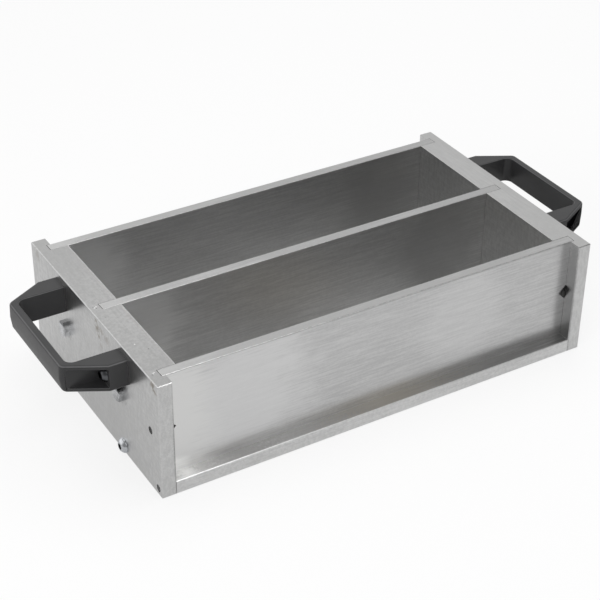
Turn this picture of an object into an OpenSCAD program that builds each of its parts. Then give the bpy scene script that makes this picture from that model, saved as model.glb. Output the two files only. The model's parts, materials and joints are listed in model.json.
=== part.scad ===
// Two-cell steel mould for concrete prisms. The side plates and the divider lift
// out of grooves in two stepped end plates, and a moulded bridge handle is screwed
// to each end. +Z is up, +X runs along the prisms, and the origin is on the ground
// under the middle of the mould. All sizes are in millimetres.

/* [Prism] */
// Length of a cast prism, between the faces of the end plates
prism_l = 285; // [200:1:400]
// Width of a cast prism, between a side plate and the divider
prism_w = 75; // [72:1:120]
// Height of a cast prism, from the base plate to the top of the mould
prism_h = 75; // [66:1:120]

/* [Plates] */
// Thickness of the base plate
base_t = 10; // [9:0.5:16]
// Thickness of the side plates and of the divider
wall_t = 7; // [6:0.5:12]
// Thickness of an end plate's outer flange
flange_t = 10; // [9:0.5:16]
// Thickness of the raised block on the inner side of an end plate
block_t = 10; // [7:0.5:16]
// Depth of the grooves in the flange that hold the ends of the plates
groove_d = 2.75; // [1.5:0.25:3]
// Width of the base plate that shows outside each side plate
ledge_w = 9; // [7.5:0.5:20]
// Chamfer on the edges of the end plates and of the base plate
edge_chamfer = 0.5; // [0.2:0.1:1]
// Chamfer on the top edges of the side plates and of the divider
wall_chamfer = 0.3; // [0.1:0.1:0.8]

/* [Fits] */
// Gap between a lift-out plate and each side of its groove
slide_gap = 0.1; // [0.05:0.05:0.3]
// Gap between the end of a lift-out plate and the bottom of its groove
end_gap = 0.35; // [0.2:0.05:0.8]
// Radial clearance of a screw, stud or dowel in its hole
bore_gap = 0.05; // [0.02:0.01:0.1]
// Gap between the head of a handle screw and the wall of its pocket
head_gap = 0.25; // [0.1:0.05:0.5]

/* [Notches and locking screws] */
// Height of the V notches and of the locking screws
lock_z = 45; // [35:1:55]
// Distance from the inner face of the flange to the point of a V notch
notch_reach = 5.6; // [4:0.2:8]
// Radius of a locking screw
lock_r = 2.5; // [2:0.25:3]
// Length of a locking screw with its cone point
lock_l = 6; // [5:0.25:6.5]
// Flat at the tip of the cone point, as a radius
lock_tip_r = 0.75; // [0.5:0.05:1]
// Gap between the cone point and the end of the plate when the screw is out
lock_gap = 0.45; // [0.4:0.05:0.8]

/* [Gauge studs] */
// Radius of a stud screw's thread and of a gauge stud
stud_r = 3; // [2.5:0.25:4]
// Length of a gauge stud inside its cell
stud_l = 17.5; // [12:0.5:25]
// Width across the flats of a stud screw's hexagon head
hex_af = 10; // [8:0.5:12]
// Height of a stud screw's hexagon head
hex_h = 4; // [3:0.25:5]
// Turn of the hexagon heads about their axis, in degrees
hex_turn = 15; // [0:1:30]
// Radius of the spigot that carries a gauge stud
spigot_r = 1.5; // [1:0.25:2]
// Length of the spigot
spigot_l = 5; // [3:0.5:8]

/* [Base bolts and dowels] */
// Radius of the thread of the base bolts and handle screws
bolt_r = 3; // [2.5:0.25:3]
// Radius of a domed head
dome_r = 5.25; // [4.5:0.05:5.25]
// Height of a domed head
dome_h = 3.3; // [3:0.1:3.5]
// Width across the flats of the hexagon socket in a domed head
socket_af = 4; // [3:0.5:4]
// Height of the base bolts above the ground
base_bolt_z = 5.5; // [5.3:0.1:5.8]
// Depth that the base bolts go into the end of the base plate
base_bite = 12; // [8:0.5:20]
// Radius of a dowel pin
dowel_r = 2.5; // [2:0.25:3]
// Distance from a dowel pin to the side of the mould
dowel_inset = 5; // [4.5:0.25:5.5]
// Distance from the outer face of the flange to the end of a dowel pin
dowel_recess = 1.5; // [0.5:0.25:3]
// Depth that a dowel pin goes into the end of the base plate
dowel_bite = 8; // [5:0.5:14]

/* [Handles] */
// Height of a handle from its lower to its upper face
handle_h = 19.5; // [18.5:0.5:24]
// Distance from the top of the mould down to the top of a handle
handle_drop = 5; // [2:0.5:6]
// Width of the finger opening, between the legs
finger_w = 79; // [70:1:84]
// Thickness of a leg where it meets the end plate
leg_t = 15; // [14.5:0.5:18]
// Distance from the end plate to the bend in a leg's outer side
leg_out = 12.7; // [11:0.1:16]
// Distance from the end plate to the ridge along the grip
grip_out = 38.9; // [36:0.1:50]
// Thickness of the grip at its ridge
grip_t = 6; // [5:0.25:8]
// Length of the grip's outer face, between the slanted faces
grip_l = 80.5; // [70:0.5:84]
// Slope of the grip's face from its ridge to its upper edge
draft_up = 0.5; // [0.2:0.1:1]
// Slope of the grip's face from its ridge to its lower edge
draft_down = 1.3; // [0.5:0.1:1.8]
// Radius of the inner corners of the finger opening
finger_r = 5; // [3:0.5:8]
// Radius of the outer corners of the grip
grip_r = 4; // [2.5:0.5:6]
// Rounding of the upper and lower edges
handle_round = 1.8; // [1:0.1:2]
// Thickness of the wall between a screw pocket and the finger opening
pocket_wall = 2.5; // [2:0.1:3]
// Thickness of the handle above and below a screw pocket
pocket_skin = 3; // [2.5:0.1:3]
// Depth that a handle screw goes into the end plate
handle_bite = 12; // [8:0.5:14]

/* [Hidden] */

$fn = 64;
eps = 0.01;
past = 1;

// Which end and which side a piece is on
LEFT = -1;
RIGHT = 1;
FRONT = -1;
BACK = 1;

// Places along X
cell_x = prism_l / 2;
flange_x = cell_x + block_t;
outer_x = flange_x + flange_t;
groove_x = flange_x + groove_d;
wall_x = groove_x - end_gap;
notch_x = flange_x - notch_reach;

// Places along Y
cell_y = (wall_t + prism_w) / 2;
side_y = wall_t + prism_w;
block_y = side_y - wall_t / 2 - slide_gap;
outer_y = side_y + wall_t / 2 + ledge_w;
dowel_y = outer_y - dowel_inset;
leg_y = finger_w / 2 + leg_t;
pocket_y = finger_w / 2 + pocket_wall;
handle_screw_y = pocket_y + dome_r + head_gap;

// Places along Z
top_z = base_t + prism_h;
stud_z = base_t + prism_h / 2;
dowel_z = base_t / 2;
handle_z = top_z - handle_drop - handle_h;
handle_mid = handle_z + handle_h / 2;

// Shape of the screws
hex_flat_r = 0.475 * hex_af;
hex_slope = 1 / tan(30);
dome_rim = 0.4;
dome_flat_r = 2.9;
dome_sink = (dome_r ^ 2 + dome_rim ^ 2 - dome_h ^ 2 - dome_flat_r ^ 2) / (2 * (dome_h - dome_rim));
dome_ball = sqrt(dome_r ^ 2 + (dome_rim + dome_sink) ^ 2);
socket_d = 2;
lock_socket_af = 2.5;
lock_socket_d = 2.2;
hole_end = 1;
stud_groove_w = 2;
stud_groove_d = 0.6;
stud_groove_step = 5;
pin_chamfer = 0.4;

// Colours
STEEL = [0.71, 0.71, 0.70];
DARK_STEEL = [0.60, 0.60, 0.60];
ZINC = [0.80, 0.82, 0.85];
STAINLESS = [0.75, 0.75, 0.74];
PLASTIC = [0.20, 0.20, 0.20];

// One corner p of an outline, or the two points that a chamfer puts in its place
function corner(p, cut, before, after) = cut > 0 ? [p + cut * before, p + cut * after] : [p];

// A rectangle from corner lo to corner hi, with its corners cut off at 45 degrees
// by the amounts in cuts, in the order low-low, high-low, high-high, low-high.
module cut_rect(lo, hi, cuts) {
    polygon(concat(
        corner([lo.x, lo.y], cuts[0], [0, 1], [1, 0]),
        corner([hi.x, lo.y], cuts[1], [-1, 0], [0, 1]),
        corner([hi.x, hi.y], cuts[2], [0, -1], [-1, 0]),
        corner([lo.x, hi.y], cuts[3], [1, 0], [0, -1])
    ));
}

// Draws a YZ outline along X, from x = lo to x = hi
module along_x(lo, hi) {
    translate([lo, 0, 0]) rotate([90, 0, 90]) linear_extrude(hi - lo) children();
}

// Draws an XZ outline along Y, from y = lo to y = hi
module along_y(lo, hi) {
    translate([0, hi, 0]) rotate([90, 0, 0]) linear_extrude(hi - lo) children();
}

// Puts a piece drawn along +Z on the outer face of an end plate, pointing outwards
module on_end(end, side, y, z) {
    translate([end * outer_x, side * y, z]) rotate([0, end * 90, 0]) children();
}

// A round hole along X through or into the right end, from x = lo to x = hi
module end_hole(y, z, r, lo, hi) {
    for (side = [FRONT, BACK])
        translate([lo, side * y, z]) rotate([0, 90, 0]) cylinder(r = r, h = hi - lo);
}

// Base plate, between the flanges of the end plates
module base_plate() {
    color(STEEL) difference() {
        along_x(-flange_x, flange_x)
            cut_rect([-outer_y, 0], [outer_y, base_t], [for (i = [0:3]) edge_chamfer]);
        for (end = [LEFT, RIGHT])
            rotate([0, 0, end == LEFT ? 180 : 0]) {
                bolt_end = flange_x - base_bite - hole_end;
                dowel_end = flange_x - dowel_bite - hole_end;
                end_hole(cell_y, base_bolt_z, bolt_r + bore_gap, bolt_end, flange_x + past);
                end_hole(dowel_y, dowel_z, dowel_r + bore_gap, dowel_end, flange_x + past);
            }
    }
}

// Flange of the right end plate, with the edges that show chamfered
module flange() {
    c = edge_chamfer;
    intersection() {
        linear_extrude(top_z)
            cut_rect([flange_x, -outer_y], [outer_x, outer_y], [c, c, c, c]);
        along_y(-outer_y, outer_y)
            cut_rect([flange_x, 0], [outer_x, top_z], [0, c, c, 0]);
        along_x(flange_x, outer_x)
            cut_rect([-outer_y, 0], [outer_y, top_z], [c, c, c, c]);
    }
}

// Upright grooves of the right end plate that the three plates slide down
module plate_grooves() {
    w = wall_t + 2 * slide_gap;
    h = prism_h + past;
    for (side = [FRONT, BACK])
        translate([flange_x - past, side * side_y - w / 2, base_t])
            cube([groove_d + past, w, h]);
    translate([cell_x - past, -w / 2, base_t])
        cube([block_t + groove_d + past, w, h]);
}

// End plate: a full flange outside, and a raised block inside between the side
// plates. The flange hangs over the end of the base plate and the block stands on it.
module end_plate(end) {
    color(STEEL) rotate([0, 0, end == LEFT ? 180 : 0]) difference() {
        union() {
            flange();
            translate([cell_x, -block_y, base_t]) cube([block_t + eps, 2 * block_y, prism_h]);
        }
        plate_grooves();
        out = outer_x + past;
        end_hole(cell_y, stud_z, stud_r + bore_gap, cell_x - past, out);
        end_hole(cell_y, base_bolt_z, bolt_r + bore_gap, flange_x - past, out);
        end_hole(dowel_y, dowel_z, dowel_r + bore_gap, flange_x - past, out);
        end_hole(side_y, lock_z, lock_r + bore_gap, groove_x - past, out);
        end_hole(handle_screw_y, handle_mid, bolt_r + bore_gap,
            outer_x - handle_bite - hole_end, out);
    }
}

// Plate that stands in a pair of grooves, with its inner bottom edges left sharp
module wall_plate(y) {
    along_x(-wall_x, wall_x)
        cut_rect([y - wall_t / 2, base_t], [y + wall_t / 2, top_z],
            [0, 0, wall_chamfer, wall_chamfer]);
}

// Square V notch through the end of a side plate, with its point at mid length
module v_notch(end, y) {
    mouth = wall_x + past - notch_x;
    along_y(y - wall_t / 2 - past, y + wall_t / 2 + past)
        polygon([
            [end * notch_x, lock_z],
            [end * (notch_x + mouth), lock_z - mouth],
            [end * (notch_x + mouth), lock_z + mouth]
        ]);
}

// Side plate, with a V notch in each end for the points of the locking screws
module side_plate(side) {
    color(STEEL) difference() {
        wall_plate(side * side_y);
        for (end = [LEFT, RIGHT]) v_notch(end, side * side_y);
    }
}

module divider_plate() {
    color(STEEL) wall_plate(0);
}

// Points of an arc about c, from one angle to another
function arc(c, r, from, to, steps) =
    [for (i = [0:steps]) let (a = from + (to - from) * i / steps) c + r * [cos(a), sin(a)]];

// Back half of a handle's plan, from its foot to the grip. inset draws the
// sides in, for the rounding of the upper and lower edges.
function half_plan(out, inset) =
    let (
        slant = atan2(leg_y - grip_l / 2, grip_out - leg_out),
        bend = [leg_out - inset * tan(slant / 2), leg_y - inset],
        tip_x = out - inset,
        tip_y = bend.y - (tip_x - bend.x) * tan(slant),
        r = grip_r - inset,
        centre = [tip_x - r, tip_y - r * tan((90 - slant) / 2)]
    )
    concat([[0, bend.y], bend], arc(centre, r, 90 - slant, 0, 6));

// Plan of a handle, from the end plate outwards along X
module handle_plan(out, inset) {
    half = half_plan(out, inset);
    last = len(half) - 1;
    polygon(concat(half, [for (i = [last:-1:0]) [half[i].x, -half[i].y]]));
}

// Outside of a handle: the plan drawn in at its upper and lower edges along a
// quarter circle, and sloped from the ridge at mid height
module handle_body() {
    mid = handle_h / 2;
    steps = 3;
    hull() {
        translate([0, 0, mid]) linear_extrude(eps) handle_plan(grip_out, 0);
        for (i = [0:steps]) {
            a = 90 * i / steps;
            inset = handle_round * (1 - cos(a));
            rise = mid - handle_round * (1 - sin(a)) - eps;
            translate([0, 0, mid + rise]) linear_extrude(eps)
                handle_plan(grip_out - draft_up, inset);
            translate([0, 0, mid - rise]) linear_extrude(eps)
                handle_plan(grip_out - draft_down, inset);
        }
    }
}

// Finger opening, grown by the given amount, with round corners at the grip
module finger_plan(grow) {
    x = grip_out - grip_t + grow;
    y = finger_w / 2 + grow;
    r = finger_r + grow;
    union() {
        translate([-past, -y]) square([x - r + past, 2 * y]);
        translate([-past, -y + r]) square([x + past, 2 * (y - r)]);
        for (side = [FRONT, BACK]) translate([x - r, side * (y - r)]) circle(r = r, $fn = 32);
    }
}

// Moulded bridge handle: two legs, a ridged grip and a triangular pocket in each
// slanted face that lets the screw in
module handle(end) {
    lip = 0.8;
    color(PLASTIC)
    rotate([0, 0, end == LEFT ? 180 : 0]) translate([outer_x, 0, handle_z]) difference() {
        handle_body();
        translate([0, 0, -past]) linear_extrude(handle_h + 2 * past) finger_plan(0);
        for (z = [0, handle_h]) hull() {
            translate([0, 0, z - eps]) linear_extrude(2 * eps) finger_plan(lip);
            translate([0, 0, abs(z - lip)]) linear_extrude(eps) finger_plan(0);
        }
        for (side = [FRONT, BACK]) {
            translate([leg_out, side > 0 ? pocket_y : -leg_y - past, pocket_skin])
                cube([grip_out, leg_y + past - pocket_y, handle_h - 2 * pocket_skin]);
            translate([-past, side * handle_screw_y, handle_h / 2]) rotate([0, 90, 0])
                cylinder(r = bolt_r + bore_gap, h = leg_out + 2 * past);
        }
    }
}

// Straight hexagon, af across its flats
module hexagon(af, h) {
    cylinder(r = af / sqrt(3), h = h, $fn = 6);
}

// Screw that holds a gauge stud: hexagon head outside, spigot inside
module stud_screw(end, side) {
    shank = flange_t + block_t;
    color(ZINC) on_end(end, side, cell_y, stud_z) {
        rotate([0, 0, hex_turn]) intersection() {
            hexagon(hex_af, hex_h);
            cylinder(r1 = hex_flat_r + hex_h * hex_slope, r2 = hex_flat_r, h = hex_h);
        }
        translate([0, 0, -shank]) cylinder(r = stud_r, h = shank + eps);
        translate([0, 0, -shank - spigot_l]) cylinder(r = spigot_r, h = spigot_l + eps);
    }
}

// Gauge stud: turned rod with two grip grooves and a socket for the spigot
module gauge_stud(end, side) {
    groove_r = stud_r - stud_groove_d;
    color(STAINLESS) on_end(end, side, cell_y, stud_z)
        translate([0, 0, -flange_t - block_t - stud_l]) difference() {
            cylinder(r = stud_r, h = stud_l);
            for (i = [1, 2]) translate([0, 0, i * stud_groove_step - stud_groove_w]) difference() {
                cylinder(r = stud_r + past, h = stud_groove_w);
                translate([0, 0, -eps]) cylinder(r = groove_r, h = stud_groove_w + 2 * eps);
            }
            translate([0, 0, stud_l - spigot_l - hole_end])
                cylinder(r = spigot_r + bore_gap, h = spigot_l + hole_end + past);
        }
}

// Headless locking screw with a cone point, drawn back until it clears the plate
module locking_screw(end, side) {
    point = lock_r - lock_tip_r;
    tip = wall_x + lock_gap - outer_x;
    color(DARK_STEEL) on_end(end, side, side_y, lock_z) translate([0, 0, tip]) difference() {
        union() {
            cylinder(r1 = lock_tip_r, r2 = lock_r, h = point);
            translate([0, 0, point]) cylinder(r = lock_r, h = lock_l - point);
        }
        translate([0, 0, lock_l - lock_socket_d]) hexagon(lock_socket_af, lock_socket_d + past);
    }
}

// Domed screw with a hexagon socket, its thread going down from z = 0
module domed_screw(length) {
    difference() {
        union() {
            intersection() {
                cylinder(r = dome_r, h = dome_h);
                translate([0, 0, -dome_sink]) sphere(r = dome_ball);
            }
            translate([0, 0, -length]) cylinder(r = bolt_r, h = length + eps);
        }
        translate([0, 0, dome_h - socket_d]) hexagon(socket_af, socket_d + past);
    }
}

// Bolt through the flange into the end of the base plate
module base_bolt(end, side) {
    color(ZINC) on_end(end, side, cell_y, base_bolt_z) domed_screw(flange_t + base_bite);
}

// Dowel pin that lines the end plate up with the base plate
module dowel(end, side) {
    length = flange_t - dowel_recess + dowel_bite;
    color(DARK_STEEL) on_end(end, side, dowel_y, dowel_z)
        translate([0, 0, -dowel_recess - length]) {
            cylinder(r1 = dowel_r - pin_chamfer, r2 = dowel_r, h = pin_chamfer);
            translate([0, 0, pin_chamfer]) cylinder(r = dowel_r, h = length - 2 * pin_chamfer);
            translate([0, 0, length - pin_chamfer])
                cylinder(r1 = dowel_r, r2 = dowel_r - pin_chamfer, h = pin_chamfer);
        }
}

// Screw in a pocket of a handle, through the leg into the end plate
module handle_screw(end, side) {
    color(ZINC) on_end(end, side, handle_screw_y, handle_mid)
        translate([0, 0, leg_out]) domed_screw(leg_out + handle_bite);
}

base_plate();
end_plate(LEFT);  // left_end_plate
end_plate(RIGHT);  // right_end_plate
side_plate(FRONT);  // front_side_plate
side_plate(BACK);  // back_side_plate
divider_plate();
handle(LEFT);  // left_handle
handle(RIGHT);  // right_handle
stud_screw(LEFT, FRONT);  // left_front_stud_screw
stud_screw(LEFT, BACK);  // left_back_stud_screw
stud_screw(RIGHT, FRONT);  // right_front_stud_screw
stud_screw(RIGHT, BACK);  // right_back_stud_screw
gauge_stud(LEFT, FRONT);  // left_front_gauge_stud
gauge_stud(LEFT, BACK);  // left_back_gauge_stud
gauge_stud(RIGHT, FRONT);  // right_front_gauge_stud
gauge_stud(RIGHT, BACK);  // right_back_gauge_stud
locking_screw(LEFT, FRONT);  // left_front_locking_screw
locking_screw(LEFT, BACK);  // left_back_locking_screw
locking_screw(RIGHT, FRONT);  // right_front_locking_screw
locking_screw(RIGHT, BACK);  // right_back_locking_screw
base_bolt(LEFT, FRONT);  // left_front_base_bolt
base_bolt(LEFT, BACK);  // left_back_base_bolt
base_bolt(RIGHT, FRONT);  // right_front_base_bolt
base_bolt(RIGHT, BACK);  // right_back_base_bolt
dowel(LEFT, FRONT);  // left_front_dowel
dowel(LEFT, BACK);  // left_back_dowel
dowel(RIGHT, FRONT);  // right_front_dowel
dowel(RIGHT, BACK);  // right_back_dowel
handle_screw(LEFT, FRONT);  // left_front_handle_screw
handle_screw(LEFT, BACK);  // left_back_handle_screw
handle_screw(RIGHT, FRONT);  // right_front_handle_screw
handle_screw(RIGHT, BACK);  // right_back_handle_screw
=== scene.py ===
"""Looks of a two-cell steel mould for concrete prisms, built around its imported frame.

The plates keep the solids of the frame and get ground steel finishes. The handles,
screws, studs and pins are modelled here, each at the place of the node it stands for.
Lengths are in metres.
"""

import json
import logging
import math
from dataclasses import dataclass, field
from enum import Enum
from typing import Sequence

import bmesh
import bpy
from bmesh.types import BMEdge, BMesh, BMFace, BMVert
from bpy.types import Material, Node, NodeSocket, Object
from mathutils import Matrix, Vector

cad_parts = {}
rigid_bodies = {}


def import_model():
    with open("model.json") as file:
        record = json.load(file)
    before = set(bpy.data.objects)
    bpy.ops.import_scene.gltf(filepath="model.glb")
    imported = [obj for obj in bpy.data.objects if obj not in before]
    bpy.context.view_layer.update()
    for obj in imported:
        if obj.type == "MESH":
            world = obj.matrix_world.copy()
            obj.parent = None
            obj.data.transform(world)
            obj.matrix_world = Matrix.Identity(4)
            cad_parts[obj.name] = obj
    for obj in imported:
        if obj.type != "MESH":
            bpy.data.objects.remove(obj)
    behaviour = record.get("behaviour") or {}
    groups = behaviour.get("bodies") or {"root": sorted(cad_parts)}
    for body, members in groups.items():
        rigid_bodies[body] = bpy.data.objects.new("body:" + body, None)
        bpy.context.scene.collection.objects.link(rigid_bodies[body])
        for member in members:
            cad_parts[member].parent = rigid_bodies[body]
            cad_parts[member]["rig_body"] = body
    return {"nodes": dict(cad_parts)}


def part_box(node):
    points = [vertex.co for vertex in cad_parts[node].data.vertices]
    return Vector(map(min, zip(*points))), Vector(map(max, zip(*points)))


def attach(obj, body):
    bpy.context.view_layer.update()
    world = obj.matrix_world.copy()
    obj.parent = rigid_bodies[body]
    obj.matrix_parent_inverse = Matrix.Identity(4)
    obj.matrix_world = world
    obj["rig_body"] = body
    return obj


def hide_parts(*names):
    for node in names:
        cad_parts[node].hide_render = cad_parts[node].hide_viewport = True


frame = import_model()
logger = logging.getLogger("prism_mould")

Colour = tuple[float, float, float]
Point = tuple[float, float, float]
MM = 0.001
# Places closer together than these count as the same place, level or point.
NEAR = 0.1 * MM
LEVEL = 0.05 * MM
TOUCHING = 0.01 * MM
ROUND_STEPS = 36
THREAD_STEPS = 20
THREAD_ROOT = 0.86
WHITEST = 0.95


class End(Enum):
    """The two ends of the mould, with the sign of X that each lies at."""

    LEFT = -1
    RIGHT = 1


class Side(Enum):
    """The two sides of the mould, with the sign of Y that each lies at."""

    FRONT = -1
    BACK = 1


class Grain(Enum):
    """Direction of the grinding lines, as the turn that lays them along X."""

    ALONG_X = (0.0, 0.0, 0.0)
    ALONG_Y = (0.0, 0.0, math.pi / 2)


def node_name(end: End, side: Side, kind: str) -> str:
    """Returns the frame's name of a piece that is repeated at the four corners."""
    return f"{end.name.lower()}_{side.name.lower()}_{kind}"


def mm(*lengths: float) -> tuple[float, ...]:
    """Returns lengths given in millimetres as metres."""
    return tuple(length * MM for length in lengths)


def shade(colour: Colour, share: float) -> Colour:
    """Returns a colour made darker or brighter, up to that of clean ground steel."""
    return tuple(min(WHITEST, share * part) for part in colour)


def steel_grey(level: float) -> Colour:
    """Returns a grey that is a trace warmer than neutral."""
    return level, level, 0.999 * level


class NodeTree:
    """Adds nodes to one shader node tree, and links them."""

    def __init__(self, tree: bpy.types.NodeTree) -> None:
        """Takes the tree to add to, and empties it."""
        self.tree = tree
        self.tree.nodes.clear()

    def add(self, kind: str, **settings: object) -> Node:
        """Adds a node.

        Args:
            kind: Blender's name of the node type, without ShaderNode before it.
            settings: properties of the node.

        Returns:
            The new node.
        """
        node = self.tree.nodes.new(f"ShaderNode{kind}")
        for name, value in settings.items():
            setattr(node, name, value)
        return node

    def feed(self, socket: NodeSocket, value: object) -> None:
        """Links a socket to another, or sets its own value."""
        if isinstance(value, NodeSocket):
            self.tree.links.new(value, socket)
        elif value is not None:
            socket.default_value = value

    def math(self, operation: str, *values: object, clamp: bool = False) -> NodeSocket:
        """Adds a Math node for numbers or sockets and returns its result."""
        node = self.add("Math", operation=operation, use_clamp=clamp)
        for socket, value in zip(node.inputs, values):
            self.feed(socket, value)
        return node.outputs[0]

    def vector(self, operation: str, *values: object) -> NodeSocket:
        """Adds a Vector Math node and returns its vector, or its number for a length."""
        node = self.add("VectorMath", operation=operation)
        for socket, value in zip(node.inputs, values):
            self.feed(socket, value)
        number = operation in ("LENGTH", "DISTANCE", "DOT_PRODUCT")
        return node.outputs["Value" if number else "Vector"]

    def mix(self, factor: object, first: object, second: object) -> NodeSocket:
        """Adds a colour mix and returns its result."""
        node = self.add("Mix", data_type="RGBA", clamp_factor=True)
        self.feed(node.inputs[0], factor)
        for socket, value in zip(node.inputs[6:8], (first, second)):
            self.feed(socket, (*value, 1.0) if isinstance(value, tuple) else value)
        return node.outputs[2]

    def span(self, value: object, low: object, high: object, to_low: float = 0.0,
             to_high: float = 1.0) -> NodeSocket:
        """Maps a number from one range to another, held at the ends, and returns it."""
        node = self.add("MapRange", clamp=True, interpolation_type="SMOOTHSTEP")
        for name, number in zip(("Value", "From Min", "From Max", "To Min", "To Max"),
                                (value, low, high, to_low, to_high)):
            self.feed(node.inputs[name], number)
        return node.outputs["Result"]

    def noise(self, vector: object, scale: object, detail: float = 3.0,
              roughness: float = 0.5, distortion: float = 0.0) -> NodeSocket:
        """Adds a noise texture and returns its value, from 0 to 1."""
        node = self.add("TexNoise", noise_dimensions="3D")
        for name, value in (("Vector", vector), ("Scale", scale), ("Detail", detail),
                            ("Roughness", roughness), ("Distortion", distortion)):
            self.feed(node.inputs[name], value)
        return node.outputs["Fac"]

    def group(self, tree: bpy.types.NodeTree, **values: object) -> Node:
        """Places a node group, feeds its inputs by name, and returns its node."""
        node = self.add("Group", node_tree=tree)
        for name, value in values.items():
            self.feed(node.inputs[name], value)
        return node

    def split(self, vector: NodeSocket) -> bpy.types.bpy_prop_collection:
        """Splits a vector and returns its X, Y and Z."""
        node = self.add("SeparateXYZ")
        self.feed(node.inputs[0], vector)
        return node.outputs

    def blend(self, *parts: object) -> NodeSocket:
        """Mixes two shaders by a share, which comes first, and returns the result."""
        node = self.add("MixShader")
        for socket, part in zip(node.inputs, parts):
            self.feed(socket, part)
        return node.outputs[0]

    def close(self, kind: str, surface: NodeSocket) -> None:
        """Adds the tree's output node, OutputMaterial or OutputWorld, and feeds it."""
        self.feed(self.add(kind).inputs["Surface"], surface)


class Effect:
    """A node group that several finishes share: a place and other inputs in, masks out."""

    def __init__(self, name: str, inputs: dict[str, str], outputs: Sequence[str]) -> None:
        """Makes the group's sockets.

        Args:
            name: the group's name.
            inputs: the kind of each input beside the place, Vector or Float, by its name.
            outputs: names of the masks that it puts out.
        """
        self.tree = bpy.data.node_groups.new(name, "ShaderNodeTree")
        self.nodes = NodeTree(self.tree)
        for socket, kind in {"Vector": "Vector", **inputs}.items():
            self.tree.interface.new_socket(socket, in_out="INPUT", socket_type=f"NodeSocket{kind}")
        for socket in outputs:
            self.tree.interface.new_socket(socket, in_out="OUTPUT", socket_type="NodeSocketFloat")
        self.given = self.tree.nodes.new("NodeGroupInput").outputs
        self.result = self.tree.nodes.new("NodeGroupOutput").inputs
        self.place = self.given["Vector"]

    def put(self, name: str, mask: NodeSocket) -> None:
        """Puts a mask out under its name."""
        self.nodes.feed(self.result[name], mask)


def ground_lines() -> bpy.types.NodeTree:
    """Builds the group for grinding lines that run along X: fine ones, streaks, and painted sheen in streaky
    patches.
    """
    effect = Effect("ground_lines", {"Length": "Float", "Pitch": "Float"},
                    ["Lines", "Streaks", "Patches", "Height"])
    nodes, given, place = effect.nodes, effect.given, effect.place
    scale = nodes.add("CombineXYZ")
    nodes.feed(scale.inputs[0], nodes.math("DIVIDE", 1.0, given["Length"]))
    for axis in (1, 2):
        nodes.feed(scale.inputs[axis], nodes.math("DIVIDE", 1.0, given["Pitch"]))
    stretched = nodes.vector("MULTIPLY", place, scale.outputs[0])
    effect.put("Lines", nodes.noise(stretched, 1.0, 3.0, 0.65))
    effect.put("Height", nodes.noise(stretched, 0.5, 0.0))
    streaks = nodes.noise(stretched, 0.6, 3.0, 0.6)
    effect.put("Streaks", streaks)
    # Painted sheen: broad streaky patches where the steel is mixed toward a brighter grey.
    broad = nodes.vector("DIVIDE", place, (110 * MM, 45 * MM, 45 * MM))
    sheen_patches = nodes.span(nodes.noise(broad, 1.0, 3.0, 0.6, 0.3), 0.46, 0.62)
    effect.put("Patches", nodes.math("MULTIPLY", sheen_patches, nodes.span(streaks, 0.38, 0.62)))
    return effect.tree


def mottle() -> bpy.types.NodeTree:
    """Builds the group for the cloudy spots of handled steel, broad ones and small ones."""
    effect = Effect("mottle", {"Size": "Float"}, ["Clouds", "Spots", "Specks"])
    nodes, given, place = effect.nodes, effect.given, effect.place
    scale = nodes.math("DIVIDE", 1.0, given["Size"])
    effect.put("Clouds", nodes.noise(place, scale, 4.0, 0.6))
    fine = nodes.math("MULTIPLY", scale, 16.0)
    effect.put("Spots", nodes.noise(place, fine, 3.0, 0.6))
    speck = nodes.noise(place, nodes.math("MULTIPLY", scale, 30.0), 2.0, 0.5)
    effect.put("Specks", nodes.span(speck, 0.72, 0.80))
    return effect.tree


def edge_wear() -> bpy.types.NodeTree:
    """Builds the group for the worn edges of a plate, from the corners of its box."""
    effect = Effect("edge_wear", {"Low": "Vector", "High": "Vector", "Width": "Float"}, ["Wear"])
    nodes, given, place = effect.nodes, effect.given, effect.place
    above = nodes.vector("SUBTRACT", place, given["Low"])
    below = nodes.vector("SUBTRACT", given["High"], place)
    x, y, z = nodes.split(nodes.vector("MINIMUM", above, below))
    lower = nodes.math("MINIMUM", x, y)
    higher = nodes.math("MAXIMUM", x, y)
    second = nodes.math("MAXIMUM", lower, nodes.math("MINIMUM", higher, z))
    ragged = nodes.noise(place, 420.0, 3.0, 0.6)
    reach = nodes.math("MULTIPLY", given["Width"], nodes.span(ragged, 0.3, 0.7, 0.3, 1.7))
    effect.put("Wear", nodes.math("SUBTRACT", 1.0, nodes.span(second, 0.0, reach), clamp=True))
    return effect.tree


def mark() -> bpy.types.NodeTree:
    """Builds the group for one round mark with a ragged rim, at a place on a surface."""
    effect = Effect("mark", {"Place": "Vector", "Radius": "Float"}, ["Mark"])
    nodes, given, place = effect.nodes, effect.given, effect.place
    away = nodes.vector("DISTANCE", place, given["Place"])
    ragged = nodes.noise(place, 500.0, 3.0, 0.7)
    rim = nodes.math("MULTIPLY", given["Radius"], nodes.span(ragged, 0.25, 0.75, 0.4, 1.6))
    effect.put("Mark", nodes.math("SUBTRACT", 1.0, nodes.span(away, 0.0, rim)))
    return effect.tree


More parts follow.
